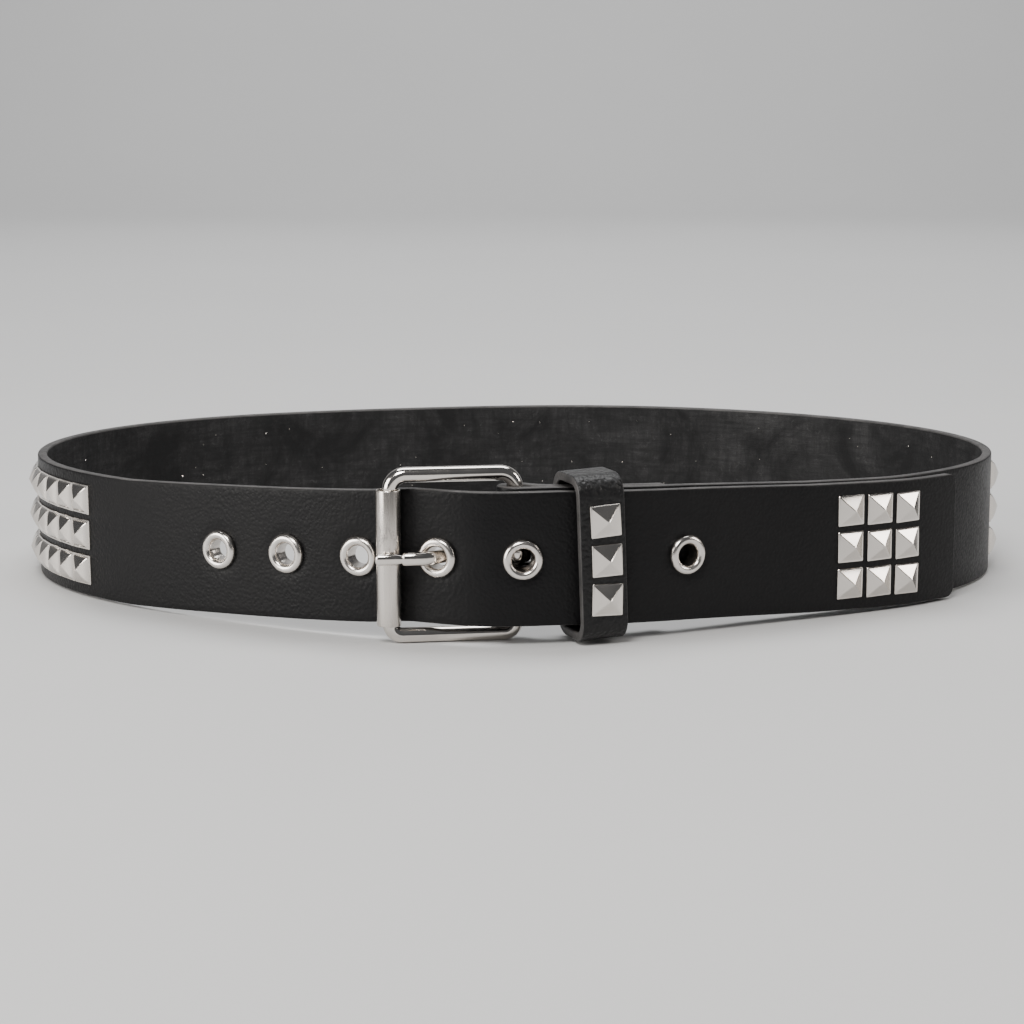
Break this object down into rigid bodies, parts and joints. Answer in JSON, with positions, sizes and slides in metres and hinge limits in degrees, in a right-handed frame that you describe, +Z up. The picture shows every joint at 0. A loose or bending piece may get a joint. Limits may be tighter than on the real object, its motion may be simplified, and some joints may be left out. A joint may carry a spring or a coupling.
{
  "type": "studded leather belt with roller buckle",
  "caption": "Black leather strap belt fastened in a loop, with a nickel roller buckle and prong, eyelets, a leather keeper loop and pyramid studs, standing on its lower edge.",
  "frame": {"origin": "centre of the belt's box, on the surface that the belt stands on", "axes": "+Z up, across the strap's width; +X along the loop's long way, towards the tail's tip; the buckle faces -Y"},
  "size_m": [0.3168, 0.2472, 0.0502],
  "materials": {
    "leather": "black grained leather, semi-matt, with a rough split inside",
    "nickel": "bright nickel plate",
    "roller_nickel": "rolled steel tube, nickel plated, fine upright streaks"
  },
  "bodies": {
    "belt": {"strap": "leather", "keeper": "leather", "buckle_frame": "nickel", "buckle_prong": "nickel", "rivet_upper": "nickel", "rivet_lower": "nickel", "eyelet_1": "nickel", "eyelet_2": "nickel", "eyelet_3": "nickel", "eyelet_4": "nickel", "eyelet_5": "nickel", "eyelet_6": "nickel", "eyelet_7": "nickel", "stud_tip_row_1_column_1": "nickel", "stud_tip_row_2_column_1": "nickel", "stud_tip_row_3_column_1": "nickel", "stud_tip_row_1_column_2": "nickel", "stud_tip_row_2_column_2": "nickel", "stud_tip_row_3_column_2": "nickel", "stud_tip_row_1_column_3": "nickel", "stud_tip_row_2_column_3": "nickel", "stud_tip_row_3_column_3": "nickel", "stud_keeper_1": "nickel", "stud_keeper_2": "nickel", "stud_keeper_3": "nickel", "stud_row_bottom": "nickel", "stud_row_middle": "nickel", "stud_row_top": "nickel"},
    "roller": {"buckle_roller": "roller_nickel"}
  },
  "joints": [
    {"name": "roller_spin", "type": "hinge", "parent": "belt", "child": "roller", "pos_m": [-0.03566, -0.11551, 0.0245], "axis": [0, 0, 1], "continuous": true}
  ]
}
